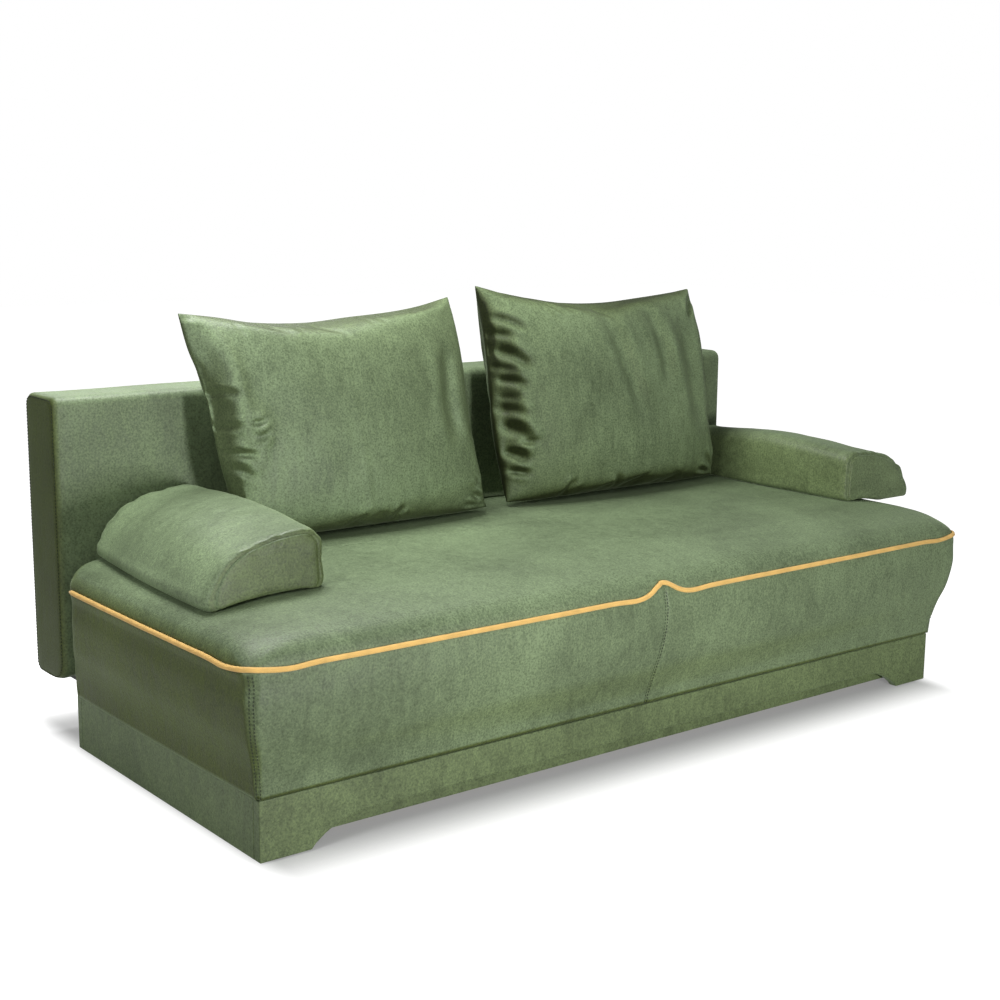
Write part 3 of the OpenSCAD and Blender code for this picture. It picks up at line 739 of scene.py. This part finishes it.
def seat_relief(rows, seams):
    """How far each place of the seat cover stands out with slack, or sinks in at seams and dart."""
    x, y, z = (rows[..., k] for k in range(3))
    middle, *corners = seams
    on_rim = (y < RIM_Y) & (z > RIM_Z[0]) & (z < RIM_Z[1])
    from_piping = np.abs(z - piping_height(x, y))
    below = z < piping_height(x, y)
    low_front = below & (y < LOW_FRONT_Y)
    from_middle = np.abs(reach_from(rows, middle))
    amount = np.where(on_rim, -2.4 * bump(from_piping, 4.5), 0)
    amount = amount - np.where(low_front, SEAM_DEPTH * bump(from_middle, 3.2), 0)
    amount = amount + np.where(low_front, 0.9 * bump(from_middle - 13, 8), 0)
    for corner in corners:
        d = np.abs(reach_from(rows, corner))
        amount = amount - np.where(below, SEAM_DEPTH * bump(d, 3.0) - 1.1 * bump(d - 6, 4), 0)
    waves = ripple(rows, 260, 1, (1, 1, 0.7))
    fine = ripple(rows, 95, 2, (1, 1, 0.45))
    sunk = np.clip((z - CROWN_Z) / 20, 0, 1)
    amount = amount + (1 - sunk) * (1.3 * waves + 0.7 * fine)
    amount = amount - sunk * (2.6 + 2.2 * waves + 0.7 * fine)
    dart = np.clip((DART_Y - y) / 30, 0, 1) * (z > piping_height(0, -440) - 2)
    from_dart = np.abs(x - DART_X)
    amount = amount - dart * (1.8 * bump(from_dart, 3.2) - 0.7 * bump(from_dart - 10, 7))
    return amount


def seat_underside(bottom):
    """Rings that line the seat cover's hollow: over the foam and down the frame's outer faces."""
    foam_low, foam_high = box_mm("seat_foam")
    rail_low, rail_high = box_mm("seat_rail_front")
    rail_rear = box_mm("seat_rail_rear")[1][1]
    foam = (foam_high[0] + 1, foam_low[1] - 1, foam_high[1] + 1)
    rails = (rail_high[0] + COVER_GAP, rail_low[1] - COVER_GAP, rail_rear + COVER_GAP)
    under = foam_low[2] + 0.5
    rings = []
    for level, (half_x, front, rear) in (
        (foam_high[2], foam), (under, foam), (under, rails), (bottom[:, 2], rails),
    ):
        x = np.clip(bottom[:, 0], -half_x, half_x)
        y = np.clip(bottom[:, 1], front, rear)
        rings.append(np.stack([x, y, np.broadcast_to(level, len(x))], 1))
    return np.array(rings)


def make_piping(rows):
    """Piping cord along the sides and the front of the seat."""
    crossings = [piping_crossing(rows, j) for j in range(rows.shape[1])]
    path = [p for p in crossings if p is not None]
    order = np.argsort([math.atan2(p[1] - 400, p[0]) % (2 * math.pi) for p in path])
    path = np.array(path)[order]
    outward = unit(np.cross(np.gradient(path, axis=0), [0, 0, 1]))
    radii = PIPING_R * (1 + 0.03 * ripple(path, 30, 5))
    piping = tube("piping_cord", path + outward * PIPING_OUT, radii, PIPING_SIDES)
    finish_as(piping, "piping")
    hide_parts("seat_piping")
    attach(piping, "seat")


def make_seat_stitches(rows, seams):
    """Top stitching on both sides of the seams below the piping."""
    lower = [k for k in range(len(rows)) if rows[k, seams[0], 2] < PIPING_Z + 12]
    lines = []
    for column, spread in zip(seams, STITCH_SPREADS):
        top_z = float(piping_height(*rows[SIDE_ROW, column, :2])) - 7
        part = rows[[k for k in lower if rows[k, column, 2] < top_z]]
        proud = grid_normals(part)[:, column] * 0.15
        for offset in (-spread, spread):
            lines.append(line_beside(part, column, offset) + proud)
    thread = stitches("seat_topstitch", lines)
    finish_as(thread, "thread")
    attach(thread, "seat")


def make_seat():
    """Seat cover with its piping and top stitching."""
    rows, seams = seat_rings()
    rows = rows + grid_normals(rows) * seat_relief(rows, seams)[..., None]
    cover = skin("seat_cover", np.concatenate([seat_underside(rows[0]), rows]))
    finish_as(cover, "seat_velvet")
    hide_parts("seat_cushion")
    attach(cover, "seat")
    make_piping(rows)
    make_seat_stitches(rows, seams)


make_seat()

# -------- back


# Corners in each whole ring of the CAD's back cushion
BACK_RING = 20
BACK_MIDDLE_X, BACK_END_X, SLACK_X = 7, 960, 980
# How far each ring of an end panel lies inside the seam, and how far it stands out of it
END_PANEL = ((1.5, -1.8), (3.0, -0.4), (6.0, 0.4), (14.0, 0.8), (28.0, 1.2), (42.0, 1.4))


def back_rows():
    """Refined rings along the back cushion with their slack, closed by an end panel each side."""
    cad = corners_mm("back_cushion")
    stations = [cad_loop("back_cushion", x, 0) for x in np.unique(np.round(cad[:, 0], 1))]
    stations = np.array([ring for ring in stations if len(ring) == BACK_RING])
    wide = refine_rings(stations, 3, 11.0)
    along = cuts_of(wide[:, 0], lambda p: 3.0 if abs(p[0] - BACK_MIDDLE_X) > BACK_END_X else 14.0)
    rows = refine(wide, along)

    low, high = box_mm("back_cushion")
    middle_y, half = (low[1] + high[1]) / 2, (high[1] - low[1]) / 2
    ends = []
    for ring, side in ((rows[0], -1), (rows[-1], 1)):
        core_z = np.clip(ring[:, 2], low[2] + half, high[2] - half)
        towards = unit(np.stack([ring[:, 0], np.full(len(ring), middle_y), core_z], 1) - ring)
        ends.append(np.array([ring + towards * inset + [out * side, 0, 0]
                              for inset, out in END_PANEL]))
    rows = np.concatenate([ends[0][::-1], rows, ends[1]])

    waves = ripple(rows, 300, 3)
    fine = ripple(rows, 110, 4, (1, 1, 0.6))
    inside = np.clip((SLACK_X - np.abs(rows[..., 0])) / 60, 0, 1)
    amount = -inside * (1.2 + 1.1 * waves + 0.5 * fine)
    return rows + grid_normals(rows) * amount[..., None]


def hollow_out(cover):
    """Cuts the hollow that holds the frame out of the back cover, and a slot for each hinge."""
    low, high = box_mm("back_cushion")
    slot_x = (box_mm("hinge_plate_right")[0][0] - 10, box_mm("back_rail_right")[0][0])
    bracket = box_mm("seat_bracket_right")[1]
    inner_low, inner_high = box_mm("back_slats")[0], box_mm("back_rear_panel")[1]
    rail_x = box_mm("back_rail_right")[1][0]
    boxes = [((-rail_x, *inner_low[1:]), (rail_x, *inner_high[1:]))]
    for side in (-1, 1):
        near, far = sorted(side * v for v in slot_x)
        boxes.append(((near, bracket[1] - 25, low[2] - 5), (far, high[1] + 5, bracket[2] + 7)))
    cutter = make_mesh("back_cutter", *boxes_of(boxes), smooth=False)
    cut = cover.modifiers.new("slots", "BOOLEAN")
    cut.operation, cut.object, cut.solver, cut.use_self = "DIFFERENCE", cutter, "EXACT", True
    bake(cover)
    bpy.data.objects.remove(cutter)


def make_back():
    """Back cover, and the top stitching along the seam round each of its ends."""
    rows = back_rows()
    cover = skin("back_cover", rows)
    hollow_out(cover)
    finish_as(cover, "back_velvet")
    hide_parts("back_cushion")
    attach(cover, "back")
    seams = (rows[len(END_PANEL)], rows[-len(END_PANEL) - 1])
    thread = stitches("back_topstitch", [np.concatenate([ring, ring[:1]]) for ring in seams])
    finish_as(thread, "thread")
    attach(thread, "back")


make_back()

# -------- plinth and the carried-over nodes

# Radius that the cloth gives the edges of each board that it covers
BOARDS = {"plinth_front": 2.6, "plinth_rear": 2.6, "plinth_left": 2.6, "plinth_right": 2.6,
          "storage_front": 1.5}
SAME_PLACE = 0.02 * MM
FLAT_WITHIN, SHARP_FROM = 0.02, 0.6


def wrap_board(node, radius):
    """Board of the CAD in its cloth, with softly rounded edges."""
    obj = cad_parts[node].copy()
    obj.data = obj.data.copy()
    obj.name = node + "_cover"
    obj.parent = None
    for key in list(obj.keys()):
        del obj[key]
    bpy.context.scene.collection.objects.link(obj)
    work = bmesh.new()
    work.from_mesh(obj.data)
    bmesh.ops.remove_doubles(work, verts=work.verts, dist=SAME_PLACE)
    bmesh.ops.dissolve_limit(work, angle_limit=FLAT_WITHIN, verts=work.verts, edges=work.edges)
    sharp = [e for e in work.edges if len(e.link_faces) == 2 and e.calc_face_angle() > SHARP_FROM]
    bmesh.ops.bevel(work, geom=sharp, offset=radius * MM, segments=3, profile=0.6, affect="EDGES")
    work.to_mesh(obj.data)
    work.free()
    obj.data.polygons.foreach_set("use_smooth", [True] * len(obj.data.polygons))
    obj.modifiers.new("even_shade", "WEIGHTED_NORMAL").keep_sharp = True
    bake(obj)
    finish_as(obj, "plinth_velvet")
    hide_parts(node)
    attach(obj, "base")


for node, radius in BOARDS.items():
    wrap_board(node, radius)

LOOK_OF = {
    "corner_blocks": "frame_wood", "glides": "glide_plastic", "storage_floor": "board",
    "storage_battens": "frame_wood", "seat_slats": "slat_wood", "seat_foam": "foam",
    "back_uprights": "frame_wood", "back_slats": "slat_wood", "back_rear_panel": "board",
}
# Looks of the other nodes, by the first of these words that is in the name
LOOK_BY_WORD = {
    "rail": "frame_wood", "screws": "screw_zinc", "studs": "zinc_steel", "hinge": "zinc_steel",
    "plate": "black_steel", "arm": "black_steel", "bracket": "black_steel",
}
for name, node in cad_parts.items():
    by_word = [look for word, look in LOOK_BY_WORD.items() if word in name]
    look = LOOK_OF.get(name, by_word[0] if by_word else None)
    if look:
        node.data.materials.clear()
        node.data.materials.append(LOOKS[look])

# -------- pillows

# Where the foot of each pillow is, and how many degrees it leans back
PILLOWS = {"pillow_left": (235.0, 11.6), "pillow_right": (250.0, 10.2)}
SEAT_TOP = 442.0
PILLOW_COUNT = 84
# A cover starts a little too wide and too thin for the cloth solver, which then blows it up
START_SPREAD, START_BULGE = 1.03, 0.74
PRESSURE, FURTHEST_BLOWN, BLOW_FRAMES = 0.9, 30, 20
SHARE_OF_CAD = 0.985
CREASE_SHARE, WAVE_HEIGHT = 1.6, 1.3
CREASE_STEP, CREASE_FADE, LIP_AT = 6.0, 0.3, 1.7

# Creases in the front of each pillow: depth, width and lip, then places across and up
CREASES = {
    "pillow_left": [
        (12, 20, 7, [(-712, 492), (-694, 440), (-680, 395), (-670, 345), (-670, 290), (-676, 240),
                     (-676, 180), (-668, 110)]),
        (-5, 24, 0, [(-640, 330), (-612, 286), (-592, 250), (-606, 200), (-618, 150), (-600, 90)]),
        (6, 7, 3, [(-722, 498), (-706, 500), (-688, 494)]),
        (9, 7, 4, [(-684, 332), (-664, 333), (-648, 326), (-642, 314)]),
        (7, 8, 4, [(-694, 256), (-665, 258), (-634, 249)]),
        (5, 7, 4, [(-622, 262), (-602, 258), (-582, 264)]),
        (4, 8, 3, [(-612, 222), (-596, 228), (-580, 236)]),
        (7, 8, 4, [(-672, 204), (-640, 196), (-606, 188)]),
        (5, 7, 3, [(-664, 172), (-640, 160), (-616, 136)]),
        (3, 6, 1, [(-612, 484), (-606, 468), (-596, 448)]),
        (3, 6, 2, [(-492, 480), (-474, 470), (-456, 448)]),
        (2, 5, 1, [(-286, 488), (-274, 474), (-262, 458)]),
        (2, 5, 1, [(-262, 488), (-246, 474), (-226, 462)]),
        (6, 22, 2, [(-70, 420), (-84, 320), (-88, 240), (-66, 150)]),
        (5, 7, 3, [(36, 14), (6, 34), (-30, 48)]),
        (5, 6, 3, [(34, 20), (18, 52), (4, 84)]),
        (4, 6, 3, [(38, 12), (0, 18), (-52, 24)]),
        (4, 5, 2, [(26, 30), (-2, 66), (-24, 98)]),
        (6, 9, 3, [(-256, 2), (-250, 20), (-240, 44)]),
    ],
    "pillow_right": [
        (12, 19, 2, [(92, 520), (110, 430), (116, 330), (120, 230), (122, 120), (120, 40)]),
        (6, 9, 3, [(92, 466), (120, 460), (150, 446), (184, 420)]),
        (4, 7, 2, [(96, 426), (118, 422), (138, 412)]),
        (9, 12, 4, [(98, 390), (124, 378), (150, 358), (180, 330)]),
        (3, 7, 1, [(104, 344), (122, 338), (140, 326)]),
        (6, 9, 3, [(102, 314), (130, 306), (168, 284)]),
        (3, 6, 1, [(106, 272), (126, 266), (142, 258)]),
        (5, 10, 2, [(106, 244), (132, 234), (162, 210)]),
        (9, 13, 4, [(106, 204), (132, 190), (156, 164), (172, 138)]),
        (4, 6, 2, [(122, 154), (152, 152), (190, 156)]),
        (8, 11, 4, [(104, 136), (134, 126), (162, 102)]),
        (7, 8, 3, [(108, 88), (138, 82), (170, 72)]),
        (2, 6, 1, [(208, 506), (222, 486), (240, 466)]),
        (3, 7, 2, [(232, 504), (248, 476), (272, 440)]),
        (3, 6, 2, [(262, 500), (284, 478), (304, 458)]),
        (3, 6, 2, [(296, 498), (318, 478), (338, 462)]),
        (3, 6, 2, [(334, 498), (356, 480), (376, 466)]),
        (6, 26, 3, [(400, 490), (440, 430), (470, 340), (500, 250), (540, 160)]),
        (5, 24, 3, [(560, 490), (600, 420), (616, 330), (620, 240)]),
        (6, 32, 3, [(700, 450), (712, 390), (724, 300), (738, 200), (752, 110)]),
        (7, 9, 3, [(800, 500), (772, 466), (756, 430)]),
        (6, 8, 3, [(824, 20), (794, 44), (770, 76)]),
        (5, 6, 3, [(828, 16), (784, 24), (742, 34)]),
        (5, 6, 3, [(820, 34), (806, 66), (796, 100)]),
        (6, 9, 3, [(276, 4), (284, 24), (300, 52)]),
        (6, 9, 3, [(440, 4), (436, 26), (428, 52)]),
    ],
}


def leaning(node):
    """Origin and axes (across, up, out to the rear) of the plane that a pillow leans in."""
    foot, lean = PILLOWS[node]
    a = math.radians(lean)
    axes = [[1, 0, 0], [0, math.sin(a), math.cos(a)], [0, math.cos(a), -math.sin(a)]]
    return np.array([0.0, foot, SEAT_TOP]), np.array(axes)


def pillow_sides(node, count):
    """Bottom, right, top and left seam of a pillow in its own plane, count + 1 points each."""
    base, axes = leaning(node)
    local = (corners_mm(node) - base) @ axes.T
    seam = local[np.abs(local[:, 2]) < 0.3][:, :2]
    seam = np.unique(np.round(seam, 1), axis=0)
    middle = (seam.min(0) + seam.max(0)) / 2
    size = (seam.max(0) - seam.min(0)) / 2
    seam = seam[np.argsort(np.arctan2(*(seam - middle).T[::-1]))]
    unit = (seam - middle) / size
    spots = [int(np.argmax(unit @ np.array(d))) for d in ((-1, -1), (1, -1), (1, 1), (-1, 1))]
    sides = []
    for k in range(4):
        a, b = spots[k], spots[(k + 1) % 4]
        span = [(a + i) % len(seam) for i in range((b - a) % len(seam) + 1)]
        part = seam[span]
        even = refine(part, cuts_of(part, 4.0))
        s = travel_along(even)
        t = np.linspace(0, s[-1], count + 1)
        sides.append(np.stack([np.interp(t, s, even[:, c]) for c in (0, 1)], 1))
    return sides


def between(bottom, right, top, left):
    """Smooth patch between four sides that run left to right and up."""
    count = len(bottom)
    u = np.linspace(0, 1, count)[None, :, None]
    v = np.linspace(0, 1, count)[:, None, None]
    return ((1 - v) * bottom[None] + v * top[None] + (1 - u) * left[:, None] + u * right[:, None]
            - (1 - u) * (1 - v) * bottom[0] - u * (1 - v) * bottom[-1]
            - (1 - u) * v * top[0] - u * v * top[-1])


def crease(places, line, depth, width, lip):
    """Height of a crease along a line at places in a plane: a groove with a lip on either side."""
    line = np.array(line, float)
    line = refine(line, cuts_of(line, CREASE_STEP))
    a, b = line[:-1], line[1:]
    d = b - a
    t = ((places[:, None] - a) * d).sum(-1) / (d * d).sum(-1)
    t = np.clip(t, 0, 1)
    gap = np.linalg.norm(places[:, None] - (a + t[..., None] * d), axis=-1)
    near = gap.argmin(1)
    rows = np.arange(len(places))
    along = (near + t[rows, near]) / len(d)
    fade = np.clip(np.minimum(along, 1 - along) / CREASE_FADE, 0, 1)
    fade = fade * fade * (3 - 2 * fade)
    gap = gap[rows, near]
    return fade * (lip * bump(gap - LIP_AT * width, width) - depth * bump(gap, width))


def blow_up(obj, pressure, cap):
    """Swells a closed cover with the cloth solver, and keeps each point within cap of its place."""
    before = points_mm(obj)
    cloth = obj.modifiers.new("cloth", "CLOTH")
    fabric = cloth.settings
    fabric.quality = 6
    fabric.mass = 0.15
    fabric.tension_stiffness = fabric.compression_stiffness = 20
    fabric.shear_stiffness = 5
    fabric.bending_stiffness = 0.25
    fabric.use_pressure = True
    fabric.uniform_pressure_force = pressure
    fabric.effector_weights.gravity = 0
    cloth.collision_settings.use_collision = False
    cloth.collision_settings.use_self_collision = False
    cloth.point_cache.frame_start, cloth.point_cache.frame_end = 1, BLOW_FRAMES
    scene = bpy.context.scene
    for number in range(1, BLOW_FRAMES + 1):
        scene.frame_set(number)
    bake(obj)
    scene.frame_set(1)
    move = points_mm(obj) - before
    length = np.linalg.norm(move, axis=1, keepdims=True)
    set_points(obj, before + move / (1 + (length / cap) ** 4) ** 0.25)


def pillow_grids(n):
    """Point numbers of a front and a rear sheet that share their rim, and which aren't on it."""
    front = np.arange(n * n).reshape(n, n)
    inner = np.zeros((n, n), bool)
    inner[1:-1, 1:-1] = True
    rear = front.copy()
    rear[inner] = n * n + np.arange(inner.sum())
    return front, rear, inner


def fitted(sheet, flat, depth):
    """Blown sheet of a pillow, moved onto the CAD's seams and scaled to its depth."""
    miss = np.concatenate([flat, np.zeros((*flat.shape[:2], 1))], -1) - sheet
    sheet = sheet + between(miss[0], miss[:, -1], miss[-1], miss[:, 0])
    furthest = sheet[..., 2].min() if depth < 0 else sheet[..., 2].max()
    sheet[..., 2] *= SHARE_OF_CAD * depth / furthest
    return sheet


def press_creases(face, node, hill):
    """Presses the creases and a faint wave into the points of a pillow's front."""
    off_rim = np.clip(hill * 6, 0, 1)
    for depth, width, lip, line in CREASES[node]:
        face[:, 2] -= CREASE_SHARE * off_rim * crease(face[:, :2], line, depth, width, lip)
    wave = ripple(face * [1, 1, 0], 120, 7) + 0.5 * ripple(face * [1, 1, 0], 45, 8)
    face[:, 2] -= WAVE_HEIGHT * wave * hill


def make_pillow(node):
    """Pillow cover: blown up, fitted to the CAD's seams and depth, then creased in front."""
    base, axes = leaning(node)
    bottom, right, top, left = pillow_sides(node, PILLOW_COUNT)
    flat = between(bottom, right, top[::-1], left[::-1])
    n = PILLOW_COUNT + 1
    t = 1 - np.abs(np.linspace(-1, 1, n)) ** 2.5
    hill = (t[None] * t[:, None]) ** 0.6
    depths = ((corners_mm(node) - base) @ axes.T)[:, 2]

    middle = flat.mean((0, 1))
    start = middle + (flat - middle) * START_SPREAD
    sheets = [np.concatenate([start, (START_BULGE * depth * hill)[..., None]], -1)
              for depth in (depths.min(), depths.max())]
    front, rear, inner = pillow_grids(n)
    quads = grid_faces(n, n, False)
    faces = np.concatenate([front.ravel()[quads], rear.ravel()[quads[:, ::-1]]])
    points = np.concatenate([sheets[0].reshape(-1, 3), sheets[1][inner]])
    pillow = make_mesh(node + "_cover", points @ axes + base, faces)
    blow_up(pillow, PRESSURE, FURTHEST_BLOWN)

    blown = (points_mm(pillow) - base) @ axes.T
    face = fitted(blown[front], flat, depths.min()).reshape(-1, 3)
    press_creases(face, node, hill.ravel())
    behind = fitted(blown[rear], flat, depths.max())[inner]
    set_points(pillow, np.concatenate([face, behind]) @ axes + base)
    smooth = pillow.modifiers.new("smooth", "SUBSURF")
    smooth.levels = smooth.render_levels = 1
    bake(pillow)
    finish_as(pillow, node)
    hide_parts(node)
    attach(pillow, node)


for node in PILLOWS:
    make_pillow(node)

# -------- bolsters


# How far each ring of an end panel lies inside the seam round it
PANEL_INSETS = np.array([2, 4, 6.5, 10, 15, 21, 28, 36, 45])
PANEL_BULGE, PANEL_EASE, PANEL_REACH = 2.6, 9, 46
SEAM_SINK, PLEAT_HEIGHT, PLEAT_WIDTH = 4.4, 4.0, 21


def end_panel(ring, out):
    """Rings from the seam at one end of a bolster to the middle of its flat panel."""
    core = ring.mean(0)
    reach = np.linalg.norm(ring - core, axis=1, keepdims=True)
    panel = []
    for inset in PANEL_INSETS:
        inner = core + (ring - core) * (1 - inset / np.maximum(reach, PANEL_REACH))
        inner[:, 1] += out * PANEL_BULGE * (1 - math.exp(-inset / PANEL_EASE))
        panel.append(inner)
    return np.array(panel)


def bolster_rows(node):
    """Rings along a bolster between its panels, how far each ring lies along it, and its length."""
    cad = corners_mm(node)
    stations = np.array([cad_loop(node, y, 1) for y in np.unique(np.round(cad[:, 1], 1))])
    low_y, high_y = stations[0, 0, 1], stations[-1, 0, 1]
    wide = refine_rings(stations, 4, 5.0)

    def nearer_the_ends(p):
        gap = min(p[1] - low_y, high_y - p[1])
        return 1.8 if gap < 12 else 4.0 if gap < 40 else 8.0

    roll = refine(wide, cuts_of(wide[:, 0], nearer_the_ends))
    rows = np.concatenate([end_panel(roll[0], -1)[::-1], roll, end_panel(roll[-1], 1)])
    length = high_y - low_y
    travel = np.concatenate([-PANEL_INSETS[::-1], roll[:, 0, 1] - low_y, length + PANEL_INSETS])
    return rows, travel[:, None], length


def make_bolster(node):
    """Long roll, gathered to the seam round the flat panel at either end."""
    rows, travel, length = bolster_rows(node)
    turn = travel_along(rows[len(PANEL_INSETS)])
    lie = np.stack(np.broadcast_arrays(turn[None], travel, 0.0), -1)
    z = rows[..., 2]
    free = np.clip((z - z.min() - 14) / 26, 0, 1)
    amount = np.zeros(z.shape)
    for seam, side in ((0.0, 1), (length, -1)):
        d = (travel - seam) * side
        pleat = ripple(lie * [1, 0.16, 1], PLEAT_WIDTH, 11 + side)
        pleat = np.sign(pleat) * np.abs(pleat) ** 0.8
        amount += free * pleat * (PLEAT_HEIGHT * bump(d - 10, 11) + 0.9 * bump(d + 12, 10))
        amount -= SEAM_SINK * bump(d, 2.3) - 0.3 * bump(d - 7, 4)
    amount += free * (1.5 * ripple(rows, 130, 9) + 0.8 * ripple(rows, 48, 10))
    amount -= free * 1.2
    cover = skin(node + "_cover", rows + grid_normals(rows) * amount[..., None])
    finish_as(cover, node)
    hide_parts(node)
    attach(cover, node)


for node in ("bolster_left", "bolster_right"):
    make_bolster(node)
